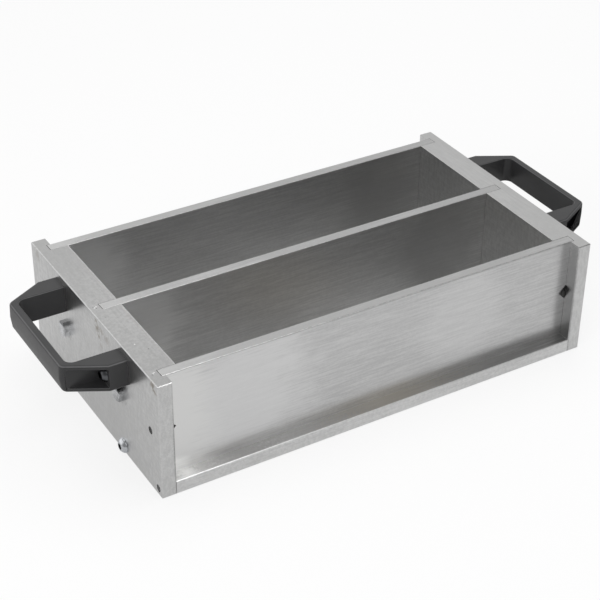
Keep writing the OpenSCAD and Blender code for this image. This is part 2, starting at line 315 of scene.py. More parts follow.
def rub() -> bpy.types.NodeTree:
    """Builds the group for a long patch of painted light and shade on a plate, its edge drawn out in streaks
    along X.
    """
    effect = Effect("rub", {"Place": "Vector", "Reach": "Vector"}, ["Rub"])
    nodes, given, place = effect.nodes, effect.given, effect.place
    away = nodes.vector("DIVIDE", nodes.vector("SUBTRACT", place, given["Place"]), given["Reach"])
    thin = nodes.vector("DIVIDE", place, (20 * MM, 0.8 * MM, 0.8 * MM))
    streaks = nodes.noise(thin, 1.0, 3.0, 0.6)
    broad = nodes.noise(place, 26.0, 3.0, 0.6)
    ragged = nodes.math("ADD", nodes.span(streaks, 0.25, 0.75, -0.17, 0.17),
                        nodes.span(broad, 0.3, 0.7, -0.14, 0.14))
    edge = nodes.math("ADD", nodes.vector("LENGTH", away), ragged)
    effect.put("Rub", nodes.math("SUBTRACT", 1.0, nodes.span(edge, 0.45, 1.15)))
    return effect.tree


class Effects:
    """The node groups that the finishes share, each built once."""

    def __init__(self) -> None:
        """Builds every group."""
        self.lines = ground_lines()
        self.mottle = mottle()
        self.wear = edge_wear()
        self.mark = mark()
        self.rub = rub()


@dataclass(frozen=True)
class Spot:
    """A stain or a punched mark on a plate; on_top keeps it to the upper face."""

    place: Point
    radius: float
    colour: Colour
    strength: float = 1.0
    on_top: bool = False


@dataclass(frozen=True)
class PaintedLightPatch:
    """A long patch of painted light on a plate, or of painted shade where its own colour is darker."""

    place: Point
    reach: Point
    strength: float
    colour: Colour | None = None


class Surface:
    """A material being made: its nodes, and the place on the object."""

    def __init__(self, name: str) -> None:
        """Makes an empty material."""
        self.material = bpy.data.materials.new(name)
        self.material.use_nodes = True
        self.nodes = NodeTree(self.material.node_tree)
        self.place = self.nodes.add("TexCoord").outputs["Object"]

    def finish(self, base: object, rough: object, height: object, depth: float, relief: float = 1.0,
               metal: float = 1.0, gloss: float = 0.5) -> Material:
        """Adds the shader.

        Args:
            base: the colour.
            rough: the roughness.
            height: what the fine relief follows.
            depth: depth of the relief.
            relief: strength of the relief.
            metal: 1 for metal, 0 for plastic.
            gloss: strength of a plastic's gloss.

        Returns:
            The finished material.
        """
        bump, shader = self.nodes.add("Bump"), self.nodes.add("BsdfPrincipled")
        bump.inputs["Strength"].default_value = relief
        bump.inputs["Distance"].default_value = depth
        shader.inputs["Metallic"].default_value = metal
        shader.inputs["Specular IOR Level"].default_value = gloss
        self.nodes.feed(bump.inputs["Height"], height)
        for name, value in (("Base Color", base), ("Roughness", rough), ("Normal", bump.outputs[0])):
            self.nodes.feed(shader.inputs[name], value)
        self.nodes.close("OutputMaterial", shader.outputs[0])
        return self.material


@dataclass(frozen=True)
class GroundSteel:
    """Ground steel plate: fine lines one way, cloudy spots, brighter worn edges, painted shade on its upper
    face, painted sheen in streaky patches, and long patches of painted light and shade.
    """

    name: str
    colour: Colour
    dull: Colour
    top_shade: Colour
    grain: Grain = Grain.ALONG_X
    roughness: float = 0.285
    cloud_size: float = 35 * MM
    cloud_share: float = 0.3
    line_share: float = 0.16
    thin_share: float = 0.38
    line_length: float = 20 * MM
    line_pitch: float = 1 * MM
    spot_share: float = 0.15
    sheen_share: float = 0.5
    dark_share: float = 0.68
    bright_share: float = 1.22
    line_depth: float = 0.004 * MM
    wear_width: float = 0.9 * MM
    wear_share: float = 0.7
    cloud_stretch: Point = (1.0, 1.0, 1.0)
    spots: tuple[Spot, ...] = ()
    light_patches: tuple[PaintedLightPatch, ...] = ()
    lit_end: float | None = None

    def material(self, effects: Effects, low: Vector, high: Vector) -> Material:
        """Makes the material.

        Args:
            effects: the shared node groups.
            low: lowest corner of the plate.
            high: highest corner of the plate.

        Returns:
            The finished material.
        """
        surface = Surface(self.name)
        nodes, place = surface.nodes, surface.place
        turned = nodes.add("Mapping", vector_type="POINT")
        nodes.feed(turned.inputs["Vector"], place)
        turned.inputs["Rotation"].default_value = self.grain.value
        lines = nodes.group(effects.lines, Vector=turned.outputs[0], Length=self.line_length,
                            Pitch=self.line_pitch)
        stretched = nodes.vector("MULTIPLY", place, self.cloud_stretch)
        cloud = nodes.group(effects.mottle, Vector=stretched, Size=self.cloud_size)
        wear = nodes.group(effects.wear, Vector=place, Low=low, High=high, Width=self.wear_width)
        clouds = nodes.span(cloud.outputs["Clouds"], 0.35, 0.65)
        share = nodes.math("MULTIPLY", clouds, self.cloud_share)
        base = nodes.mix(share, self.colour, self.dull)
        top = self.top_shade_mask(nodes, place, high.z)
        below_top = nodes.math("SUBTRACT", 1.0, top)
        # Painted shade: the upper face is mixed toward a darker grey.
        base = nodes.mix(top, base, self.top_shade)
        streaks = nodes.span(lines.outputs["Streaks"], 0.3, 0.7, 0.0, self.line_share)
        base = nodes.mix(streaks, base, self.dull)
        dark, bright = shade(self.dull, self.dark_share), shade(self.colour, self.bright_share)
        base = nodes.mix(nodes.span(lines.outputs["Lines"], 0.35, 0.65, 0.0, self.thin_share), base, dark)
        base = nodes.mix(nodes.span(cloud.outputs["Spots"], 0.35, 0.65, 0.0, self.spot_share), base, dark)
        # Painted sheen in streaky patches.
        base = nodes.mix(nodes.math("MULTIPLY", lines.outputs["Patches"], self.sheen_share), base, bright)
        # Long patches of painted light and painted shade, kept off the upper face.
        for rubbed_and_lit in self.light_patches:
            patch = nodes.group(effects.rub, Vector=place, Place=rubbed_and_lit.place, Reach=rubbed_and_lit.reach)
            share = nodes.math("MULTIPLY", patch.outputs[0], rubbed_and_lit.strength)
            base = nodes.mix(nodes.math("MULTIPLY", share, below_top), base, rubbed_and_lit.colour or bright)
        base = nodes.mix(nodes.math("MULTIPLY", wear.outputs["Wear"], self.wear_share), base, bright)
        for spot in self.spots:
            found = nodes.group(effects.mark, Vector=place, Place=spot.place, Radius=spot.radius)
            share = nodes.math("MULTIPLY", found.outputs[0], spot.strength)
            if spot.on_top:
                share = nodes.math("MULTIPLY", share, top)
            base = nodes.mix(share, base, spot.colour)
        rough = nodes.span(cloud.outputs["Clouds"], 0.3, 0.7, self.roughness, self.roughness + 0.03)
        return surface.finish(base, rough, lines.outputs["Height"], self.line_depth)

    def top_shade_mask(self, nodes: NodeTree, place: NodeSocket, top: float) -> NodeSocket:
        """Returns the mask of the painted shade on the upper face, which stops short of a lit stretch at one
        end.
        """
        x, _, z = nodes.split(place)
        mask = nodes.span(z, top - 0.2 * MM, top)
        if self.lit_end is not None:
            # Painted light: the top's painted shade fades out over a ragged stretch at the lit end.
            ragged = nodes.math("MULTIPLY", nodes.noise(place, 90.0, 4.0, 0.6), 24 * MM)
            lit_left_end = nodes.span(nodes.math("ADD", x, ragged), self.lit_end, self.lit_end + 20 * MM)
            mask = nodes.math("MULTIPLY", mask, lit_left_end)
        return mask


@dataclass(frozen=True)
class MouldedPlastic:
    """Dark moulded plastic with a fine texture, paler rubbed patches and a painted highlight on its rounded
    upper edges.
    """

    name: str = "handle_plastic"
    colour: Colour = (0.032, 0.032, 0.033)
    rubbed_and_lit: Colour = (0.040, 0.040, 0.041)
    roughness: float = 0.285
    gloss: float = 0.36
    # Colour of the painted highlight on the rounded upper edges.
    edge: Colour = (0.105, 0.105, 0.107)
    texture_depth: float = 0.006 * MM

    def material(self, effects: Effects) -> Material:
        """Makes the material from the shared node groups and returns it."""
        surface = Surface(self.name)
        nodes, place = surface.nodes, surface.place
        cloud = nodes.group(effects.mottle, Vector=place, Size=40 * MM)
        fine = nodes.noise(place, 1100.0, 2.0, 0.5)
        base = nodes.mix(nodes.span(cloud.outputs["Clouds"], 0.35, 0.7), self.colour, self.rubbed_and_lit)
        specks_and_dimple_shade = nodes.math("MULTIPLY", cloud.outputs["Specks"], 0.25)
        base = nodes.mix(specks_and_dimple_shade, base, shade(self.colour, 2.2))
        # Painted highlight on the rounded upper edges.
        base = nodes.mix(self.fillet_highlight(nodes), base, self.edge)
        rough = nodes.span(cloud.outputs["Spots"], 0.3, 0.7, self.roughness, self.roughness + 0.05)
        return surface.finish(base, rough, fine, self.texture_depth, 0.5, metal=0.0, gloss=self.gloss)

    def fillet_highlight(self, nodes: NodeTree) -> NodeSocket:
        """Returns the mask of the painted highlight on the rounded upper edges, which face half upward."""
        rise = nodes.split(nodes.add("TexCoord").outputs["Normal"])["Z"]
        return nodes.math("MULTIPLY", nodes.span(rise, 0.45, 0.62),
                          nodes.math("SUBTRACT", 1.0, nodes.span(rise, 0.76, 0.92)))


@dataclass(frozen=True)
class SmallSteel:
    """Steel of the small turned pieces: plated, hardened or stainless, some with painted shade on their
    upper part.
    """

    name: str
    colour: Colour
    dull: Colour
    roughness: float
    turned: bool = False
    pitted: float = 0.02 * MM
    shaded_above: float | None = None

    def material(self, effects: Effects) -> Material:
        """Makes the material from the shared node groups and returns it."""
        surface = Surface(self.name)
        nodes, place = surface.nodes, surface.place
        cloud = nodes.group(effects.mottle, Vector=place, Size=8 * MM)
        base = nodes.mix(nodes.span(cloud.outputs["Clouds"], 0.35, 0.7), self.colour, self.dull)
        # Painted shade: the upper part is mixed toward a dark grey, where the handle's legs shade the
        # hexagon heads.
        if self.shaded_above is not None:
            fade = 0.8 * MM
            height = nodes.split(place)["Z"]
            head_shade = nodes.span(height, self.shaded_above - fade, self.shaded_above + fade, 0.0, 0.85)
            base = nodes.mix(head_shade, base, shade(self.colour, 0.12))
        rough = nodes.span(cloud.outputs["Spots"], 0.3, 0.7, self.roughness, self.roughness + 0.05)
        height = cloud.outputs["Spots"]
        if self.turned:
            rings = nodes.group(effects.lines, Vector=place, Length=0.12 * MM, Pitch=30 * MM)
            height = rings.outputs["Lines"]
        return surface.finish(base, rough, height, self.pitted, 0.6)


class Materials:
    """The materials of the small pieces, each made once."""

    def __init__(self, effects: Effects) -> None:
        """Makes them from the shared node groups."""
        self.plastic = MouldedPlastic().material(effects)
        zinc = SmallSteel("zinc_plate", (0.82, 0.84, 0.87), (0.55, 0.57, 0.60), 0.28)
        # Zinc of the hexagon heads, with painted shade on their upper part.
        stained = SmallSteel("stained_zinc", (0.88, 0.89, 0.91), (0.42, 0.425, 0.435), 0.18,
                             pitted=0.003 * MM, shaded_above=51.0 * MM)
        # Painted shade: the handle screws are zinc painted dark for the shade of the pockets they sit in.
        sunk = SmallSteel("sunk_zinc", (0.17, 0.175, 0.185), (0.08, 0.085, 0.09), 0.28)
        pin = SmallSteel("hardened_pin", (0.46, 0.46, 0.47), (0.24, 0.24, 0.24), 0.30)
        stainless = SmallSteel("turned_stainless", (0.62, 0.61, 0.59), (0.50, 0.49, 0.47), 0.28, turned=True)
        self.zinc, self.stained, self.sunk, self.pin, self.stainless = (
            steel.material(effects) for steel in (zinc, stained, sunk, pin, stainless))


def dress(node: str, material: Material) -> None:
    """Gives a node of the frame its material.

    Args:
        node: the node's name.
        material: its finish.
    """
    solid = frame["nodes"][node]
    if not solid.material_slots:
        solid.data.materials.append(material)
    for slot in solid.material_slots:
        slot.material = material
    logger.info("dressed %s with %s", node, material.name)


def add_object(name: str, data: bpy.types.ID) -> Object:
    """Makes an object of its data, puts it in the scene and returns it."""
    made = bpy.data.objects.new(name, data)
    bpy.context.scene.collection.objects.link(made)
    return made


def make_object(name: str, mesh: BMesh, material: Material) -> Object:
    """Makes an object of a mesh and puts it in the scene.

    Args:
        name: the object's name.
        mesh: its mesh, which is freed.
        material: its finish.

    Returns:
        The object.
    """
    data = bpy.data.meshes.new(name)
    mesh.to_mesh(data)
    mesh.free()
    data.materials.append(material)
    return add_object(name, data)


def only(geom: Sequence[object], kind: type) -> list:
    """Returns the members of one kind, from what a mesh operator made."""
    return [item for item in geom if isinstance(item, kind)]


def middle_of(edge: BMEdge) -> Vector:
    """Returns the middle of an edge."""
    return (edge.verts[0].co + edge.verts[1].co) / 2


def round_off(mesh: BMesh, edges: list[BMEdge], radius: float, segments: int, clamp: bool = False) -> None:
    """Rounds edges of a mesh to a radius, and stops at their neighbours where clamp is set."""
    bmesh.ops.bevel(mesh, geom=edges, offset=radius, offset_type="OFFSET", affect="EDGES",
                    segments=segments, profile=0.5, material=-1, clamp_overlap=clamp)


def finish_piece(mesh: BMesh, node: str, material: Material, smooth_angle: float) -> Object:
    """Makes an object of a mesh, which stands for a node and rides on that node's body.

    Args:
        mesh: the piece, in its place in the frame.
        node: name of the node that it stands for.
        material: its finish.
        smooth_angle: edges that turn by more than this many degrees stay sharp.

    Returns:
        The piece's object.
    """
    bmesh.ops.recalc_face_normals(mesh, faces=mesh.faces)
    piece = make_object(f"{node}_piece", mesh, material)
    piece.data.shade_smooth()
    piece.data.set_sharp_from_angle(angle=math.radians(smooth_angle))
    even = piece.modifiers.new("even_normals", "WEIGHTED_NORMAL")
    even.keep_sharp = True
    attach(piece, frame["nodes"][node]["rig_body"])
    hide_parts(node)
    logger.info("built %s: %d faces", piece.name, len(piece.data.polygons))
    return piece


def revolve(mesh: BMesh, profile: Sequence[tuple[float, float]], steps: int = ROUND_STEPS) -> None:
    """Turns a profile about the Z axis.

    Args:
        mesh: the mesh to add to.
        profile: radius and height of each point.
        steps: number of faces round the axis.
    """
    verts = [mesh.verts.new((radius, 0.0, height)) for radius, height in profile]
    edges = [mesh.edges.new(pair) for pair in zip(verts, verts[1:])]
    bmesh.ops.spin(mesh, geom=verts + edges, cent=(0, 0, 0), axis=(0, 0, 1),
                   angle=2 * math.pi, steps=steps, use_merge=True)
    bmesh.ops.remove_doubles(mesh, verts=mesh.verts, dist=0.0001 * MM)


def draw_hexagon(mesh: BMesh, across: float, height: float = 0.0, filled: bool = False) -> None:
    """Draws a hexagon about the Z axis, with as many points as a turned ring.

    Args:
        mesh: the mesh to add to.
        across: width across its flats.
        height: its height.
        filled: whether it gets a face.
    """
    made = set(bmesh.ops.create_circle(mesh, segments=6, radius=across / math.sqrt(3), cap_ends=filled,
                                       matrix=Matrix.Translation((0, 0, height)))["verts"])
    sides = [e for e in mesh.edges if made.issuperset(e.verts)]
    bmesh.ops.subdivide_edges(mesh, edges=sides, cuts=ROUND_STEPS // 6 - 1)


def sink_hexagon(mesh: BMesh, across: float, top: float, depth: float) -> None:
    """Closes the open round top of a revolved head with a hexagon socket.

    Args:
        mesh: the head, open at its top.
        across: width across the socket's flats.
        top: height of the head's top.
        depth: depth of the socket.
    """
    ring = [e for e in mesh.edges if e.is_boundary and all(abs(v.co.z - top) < TOUCHING for v in e.verts)]
    draw_hexagon(mesh, across, top)
    rim = [e for e in mesh.edges if not e.link_faces]
    bmesh.ops.bridge_loops(mesh, edges=ring + rim)
    wall = bmesh.ops.extrude_edge_only(mesh, edges=rim)["geom"]
    low = only(wall, BMVert)
    bmesh.ops.translate(mesh, verts=low, vec=(0, 0, -depth))
    floor = bmesh.ops.contextual_create(mesh, geom=[e for e in only(wall, BMEdge)
                                                    if e.verts[0] in low and e.verts[1] in low])
    drill = bmesh.ops.poke(mesh, faces=floor["faces"])
    bmesh.ops.translate(mesh, verts=drill["verts"], vec=(0, 0, -0.25 * depth))


def wind_thread(mesh: BMesh, crest: float, root: float, low: float, high: float, pitch: float) -> None:
    """Winds a screw thread's ridge about the Z axis.

    Args:
        mesh: the mesh to add to, which has the core.
        crest: outer radius of the thread.
        root: radius of the core.
        low: height where the thread starts.
        high: height where it ends.
        pitch: rise of one turn.
    """
    turns = max(1, int((high - low) / pitch) - 1)
    sunk = 0.96 * root
    profile = [(sunk, 0.02), (crest, 0.40), (crest, 0.56), (sunk, 0.94)]
    face = mesh.faces.new([mesh.verts.new((radius, 0.0, low + share * pitch)) for radius, share in profile])
    bmesh.ops.spin(mesh, geom=[face], cent=(0, 0, 0), axis=(0, 0, 1), dvec=(0, 0, pitch / THREAD_STEPS),
                   angle=2 * math.pi * turns, steps=THREAD_STEPS * turns)


@dataclass
class CornerPiece:
    """A small piece that lies along X at each of the mould's four corners."""

    kind: str
    slot: str
    material: Material
    smooth_angle: float = 40.0
    head_h: float = 0.0

    def shape(self, mesh: BMesh, length: float) -> None:
        """Draws the piece along +Z, from -length or above up to its head."""
        raise NotImplementedError

    def seat(self, end: End, low: Vector, high: Vector) -> float:
        """Returns the X at which the drawing's z = 0 lies, under the head if it has one."""
        outer = high.x if end is End.RIGHT else low.x
        return outer - end.value * self.head_h

    def build(self, end: End, side: Side) -> Object:
        """Builds the piece at one corner.

        Args:
            end: the end of the mould.
            side: the side of the mould.

        Returns:
            The piece's object.
        """
        node = node_name(end, side, self.kind)
        low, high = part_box(node)
        middle = (low + high) / 2
        mesh = bmesh.new()
        self.shape(mesh, high.x - low.x)
        turn = Matrix.Rotation(end.value * math.pi / 2, 4, "Y")
        place = Matrix.Translation((self.seat(end, low, high), middle.y, middle.z)) @ turn
        bmesh.ops.transform(mesh, matrix=place, verts=mesh.verts)
        return finish_piece(mesh, node, self.material, self.smooth_angle)

    def build_all(self) -> None:
        """Builds the piece at all four corners."""
        for end in End:
            for side in Side:
                self.build(end, side)


@dataclass
class StudScrew(CornerPiece):
    """Hexagon screw outside an end plate, whose spigot carries a gauge stud."""

    smooth_angle: float = 20.0
    across: float = 10 * MM
    head_h: float = 4 * MM
    turned: float = math.radians(15)
    thread_r: float = 3 * MM
    spigot_r: float = 1.5 * MM
    spigot_l: float = 5 * MM
    pitch: float = 1 * MM
    face_share: float = 0.475
    cone: float = math.radians(30)

    def shape(self, mesh: BMesh, length: float) -> None:
        """Draws the head above z = 0, and the thread and the spigot below it."""
        self.head(mesh)
        shank = length - self.head_h - self.spigot_l
        tip = -shank - self.spigot_l
        root = THREAD_ROOT * self.thread_r
        revolve(mesh, [(0, 0), (root, 0), (root, -shank + 0.4 * MM), (root - 0.4 * MM, -shank),
                       (self.spigot_r, -shank), (self.spigot_r, tip + 0.3 * MM),
                       (self.spigot_r - 0.3 * MM, tip), (0, tip)], 24)
        wind_thread(mesh, self.thread_r, root, -shank + 0.3 * MM, -0.2 * MM, self.pitch)

    def head(self, mesh: BMesh) -> None:
        """Draws the hexagon head, its upper corners cut by a cone."""
        face_r = self.face_share * self.across
        draw_hexagon(mesh, self.across, filled=True)
        rim = [e for e in mesh.edges if e.is_boundary]
        wall = bmesh.ops.extrude_edge_only(mesh, edges=rim)["geom"]
        for vert in only(wall, BMVert):
            spare = vert.co.xy.length - face_r
            vert.co.z = self.head_h - max(0.0, spare) * math.tan(self.cone)
        ring = [e for e in only(wall, BMEdge) if e.is_boundary]
        cone = bmesh.ops.extrude_edge_only(mesh, edges=ring)["geom"]
        for vert in only(cone, BMVert):
            vert.co.xy = vert.co.xy.normalized() * face_r
            vert.co.z = self.head_h
        bmesh.ops.contextual_create(mesh, geom=[e for e in only(cone, BMEdge) if e.is_boundary])
        bmesh.ops.rotate(mesh, verts=mesh.verts, cent=(0, 0, 0),
                         matrix=Matrix.Rotation(self.turned, 3, "Z"))


@dataclass
class GaugeStud(CornerPiece):
    """Turned stud inside a cell, cast into the prism's end to measure it by."""

    radius: float = 3 * MM
    bore_r: float = 1.55 * MM
    bore_d: float = 6 * MM
    groove_w: float = 2 * MM
    groove_d: float = 0.6 * MM
    groove_step: float = 5 * MM
    chamfer: float = 0.3 * MM

    def shape(self, mesh: BMesh, length: float) -> None:
        """Draws the stud below z = 0, with two grip grooves and the bore for the spigot."""
        waist = self.radius - self.groove_d
        points = [(0, -length), (self.radius - self.chamfer, -length), (self.radius, -length + self.chamfer)]
        for turn in (1, 2):
            top = -length + turn * self.groove_step
            points += [(self.radius, top - self.groove_w), (waist, top - self.groove_w + 0.2 * MM),
                       (waist, top - 0.2 * MM), (self.radius, top)]
        points += [(self.radius, -self.chamfer), (self.radius - self.chamfer, 0), (self.bore_r, 0),
                   (self.bore_r, -self.bore_d), (0, -self.bore_d - 0.8 * MM)]
        revolve(mesh, points)


@dataclass
class LockingScrew(CornerPiece):
    """Headless screw with a cone point, which bears on a side plate's V notch."""

    radius: float = 2.5 * MM
    tip_r: float = 0.75 * MM
    across: float = 2.5 * MM
    socket_d: float = 2.2 * MM
    pitch: float = 0.8 * MM
    chamfer: float = 0.35 * MM

    def shape(self, mesh: BMesh, length: float) -> None:
        """Draws the screw below z = 0, with its socket at the top."""
        cone = self.radius - self.tip_r
        root = THREAD_ROOT * self.radius
        revolve(mesh, [(0, -length), (self.tip_r, -length), (root, -length + root - self.tip_r),
                       (root, -self.chamfer), (root - self.chamfer, 0)])
        sink_hexagon(mesh, self.across, 0.0, self.socket_d)
        wind_thread(mesh, self.radius, root, -length + cone - 0.5 * MM, 0.0, self.pitch)


@dataclass
class DomedScrew(CornerPiece):
    """Screw with a domed head and a hexagon socket."""

    head_r: float = 5.25 * MM
    head_h: float = 3.3 * MM
    rim: float = 0.4 * MM
    flat_r: float = 2.9 * MM
    across: float = 4 * MM
    socket_d: float = 2 * MM
    thread_r: float = 3 * MM

    def shape(self, mesh: BMesh, length: float) -> None:
        """Draws the domed head above z = 0 and the shank below it."""
        shank = length - self.head_h
        rise = self.head_h - self.rim
        sink = (self.head_r ** 2 - self.flat_r ** 2 - rise ** 2) / (2 * rise)
        ball = math.hypot(self.head_r, sink)
        start, stop = math.atan2(sink, self.head_r), math.atan2(sink + rise, self.flat_r)
        dome = [start + (stop - start) * i / 8 for i in range(9)]
        points = [(0, -shank), (self.thread_r - 0.5 * MM, -shank), (self.thread_r, -shank + 0.5 * MM),
                  (self.thread_r, 0), (self.head_r - 0.15 * MM, 0), (self.head_r, 0.15 * MM)]
        points += [(ball * math.cos(a), ball * math.sin(a) - sink + self.rim) for a in dome]
        revolve(mesh, points)
        sink_hexagon(mesh, self.across, self.head_h, self.socket_d)


@dataclass
class DowelPin(CornerPiece):
    """Plain hardened pin with chamfered ends, sunk a little into the end plate."""

    radius: float = 2.5 * MM
    chamfer: float = 0.4 * MM

    def shape(self, mesh: BMesh, length: float) -> None:
        """Draws the pin below z = 0."""
        inner = self.radius - self.chamfer
        revolve(mesh, [(0, -length), (inner, -length), (self.radius, -length + self.chamfer),
                       (self.radius, -self.chamfer), (inner, 0), (0, 0)])


@dataclass
class BridgeHandle:
    """Moulded bridge handle: two legs, a ridged grip and a screw pocket in each slant."""

    material: Material
    finger_w: float = 79 * MM
    leg_out: float = 12.7 * MM
    grip_l: float = 80.5 * MM
    grip_t: float = 6 * MM
    draft_up: float = 0.5 * MM
    draft_down: float = 1.3 * MM
    draft_in: float = 0.3 * MM
    grip_r: float = 4 * MM
    finger_r: float = 5 * MM
    edge_r: float = 1.8 * MM
    finger_edge_r: float = 1.0 * MM
    pocket_wall: float = 2.5 * MM
    pocket_skin: float = 3 * MM
    pocket_r: float = 0.5 * MM
    leg_y: float = field(init=False, default=0.0)
    height: float = field(init=False, default=0.0)
    grip_out: float = field(init=False, default=0.0)

    @property
    def slope(self) -> float:
        """How far the slanted face draws in for each unit of its way out."""
        return (self.leg_y - self.grip_l / 2) / (self.grip_out - self.leg_out)

    def slant_y(self, x: float) -> float:
        """Returns the half width of the slanted face at a distance x from the end plate."""
        return self.leg_y - (x - self.leg_out) * self.slope

    def build(self, end: End) -> Object:
        """Builds the handle at one end.

        Args:
            end: the end of the mould.

        Returns:
            The handle's object.
        """
        node = f"{end.name.lower()}_handle"
        low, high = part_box(node)
        self.leg_y, self.height, self.grip_out = high.y, high.z - low.z, high.x - low.x
        mesh = bmesh.new()
        self.draw_bar(mesh)
        self.cut_pockets(mesh)
        self.round_corners(mesh)
        self.round_edges(mesh)
        root_x = low.x if end is End.RIGHT else high.x
        turn = Matrix.Rotation(0.0 if end is End.RIGHT else math.pi, 4, "Z")
        bmesh.ops.transform(mesh, verts=mesh.verts, matrix=Matrix.Translation((root_x, 0, low.z)) @ turn)
        return finish_piece(mesh, node, self.material, 32.0)

    def draw_bar(self, mesh: BMesh) -> None:
        """Draws the bar's plan, extrudes it and slopes the grip from its ridge."""
        inner_x, inner_y = self.grip_out - self.grip_t, self.finger_w / 2
        half = [(inner_x, inner_y), (0, inner_y), (0, self.leg_y), (self.leg_out, self.leg_y),
                self.pocket_mouth(), (self.grip_out, self.grip_l / 2)]
        plan = half + [(x, -y) for x, y in reversed(half)]
        face = mesh.faces.new([mesh.verts.new((x, y, 0)) for x, y in plan])
        raised = bmesh.ops.extrude_face_region(mesh, geom=[face])["geom"]
        bmesh.ops.translate(mesh, vec=(0, 0, self.height), verts=only(raised, BMVert))
        if not any(abs(f.calc_center_median().z) < TOUCHING for f in mesh.faces):
            bmesh.ops.contextual_create(mesh, geom=[e for e in mesh.edges if e.is_boundary])
        for height in (self.height / 2, self.pocket_skin, self.height - self.pocket_skin):
            bmesh.ops.bisect_plane(mesh, geom=mesh.verts[:] + mesh.edges[:] + mesh.faces[:],
                                   plane_co=(0, 0, height), plane_no=(0, 0, 1))
        for vert in mesh.verts:
            share = 2 * vert.co.z / self.height - 1
            draft = share * self.draft_up if share > 0 else -share * self.draft_down
            if vert.co.x > self.grip_out - NEAR:
                vert.co.x -= draft
                vert.co.y = math.copysign(self.slant_y(vert.co.x), vert.co.y)
            elif vert.co.x > inner_x - NEAR and abs(vert.co.y) < inner_y + NEAR:
                vert.co.x += abs(share) * self.draft_in

    def pocket_mouth(self) -> tuple[float, float]:
        """Returns the end of a pocket's mouth on the slanted face, near the grip."""
        y = self.finger_w / 2 + self.pocket_wall
        return self.leg_out + (self.leg_y - y) / self.slope, y

    def cut_pockets(self, mesh: BMesh) -> None:
        """Cuts a triangular pocket into each slanted face and rounds its edges."""
        bmesh.ops.recalc_face_normals(mesh, faces=mesh.faces)
        mouth_x, mouth_y = self.pocket_mouth()
        for side in Side:
            mesh.faces.ensure_lookup_table()
            faces = [f for f in mesh.faces if self.in_mouth(f.calc_center_median(), side)]
            made = bmesh.ops.extrude_face_region(mesh, geom=faces)["geom"]
            bmesh.ops.delete(mesh, geom=[f for f in faces if f.is_valid], context="FACES_ONLY")
            deep = only(made, BMVert)
            for vert in deep:
                vert.co.x, vert.co.y = self.leg_out, side.value * mouth_y
            bmesh.ops.delete(mesh, geom=only(made, BMFace), context="FACES_ONLY")
            bmesh.ops.remove_doubles(mesh, verts=deep, dist=TOUCHING)
        wires = [e for e in mesh.edges if not e.link_faces]
        bmesh.ops.delete(mesh, geom=wires, context="EDGES")
        bmesh.ops.dissolve_limit(mesh, angle_limit=math.radians(0.4), verts=mesh.verts, edges=mesh.edges)
        skins = (self.pocket_skin, self.height - self.pocket_skin)
        edges = []
        for edge in mesh.edges:
            middle = middle_of(edge)
            level = min(abs(middle.z - s) for s in skins) < LEVEL
            inside = self.leg_out - NEAR < middle.x < mouth_x + NEAR and abs(middle.y) > mouth_y - NEAR
            upright = abs(edge.verts[0].co.z - edge.verts[1].co.z) > 1 * MM
            within = skins[0] - NEAR < middle.z < skins[1] + NEAR
            if inside and within and (level or upright):
                edges.append(edge)
        round_off(mesh, edges, self.pocket_r, 2, clamp=True)

    def in_mouth(self, point: Vector, side: Side) -> bool:
        """Tells whether a face's middle lies in the mouth of one side's pocket."""
        on_slant = abs(abs(point.y) - self.slant_y(point.x)) < NEAR
        mouth_x = self.pocket_mouth()[0]
        level = self.pocket_skin < point.z < self.height - self.pocket_skin
        return on_slant and level and self.leg_out < point.x < mouth_x and point.y * side.value > 0

    def round_corners(self, mesh: BMesh) -> None:
        """Rounds the grip's outer corners and the finger opening's inner corners."""
        turn = math.pi / 2 - math.atan(self.slope)
        outer, inner = [], []
        for edge in mesh.edges:
            a, b = (v.co for v in edge.verts)
            if abs(a.z - b.z) < 1 * MM or abs(a.y - b.y) > 2 * MM:
                continue
            middle = middle_of(edge)
            if middle.x > self.grip_out - 2 * MM:
                outer.append(edge)
            elif (middle.x > self.grip_out - self.grip_t - 1 * MM
                  and abs(middle.y) < self.finger_w / 2 + NEAR):
                inner.append(edge)
        for edges, offset in ((outer, self.grip_r * math.tan(turn / 2)), (inner, self.finger_r)):
            round_off(mesh, [e for e in edges if e.is_valid], offset, 6)

    def round_edges(self, mesh: BMesh) -> None:
        """Rounds the upper and lower edges, more outside than in the finger opening."""
        mesh.normal_update()
        inner_x = self.grip_out - self.grip_t + self.draft_in + NEAR
        for finger, offset, segments in ((False, self.edge_r, 5), (True, self.finger_edge_r, 3)):
            edges = []
            for edge in mesh.edges:
                if len(edge.link_faces) != 2:
                    continue
                upright = [abs(f.normal.z) for f in edge.link_faces]
                middle = middle_of(edge)
                outer_level = min(abs(middle.z), abs(middle.z - self.height)) < LEVEL
                in_finger = abs(middle.y) < self.finger_w / 2 + NEAR and middle.x < inner_x
                if outer_level and min(upright) < 0.4 and middle.x > LEVEL and in_finger == finger:
                    edges.append(edge)
            round_off(mesh, edges, offset, segments)


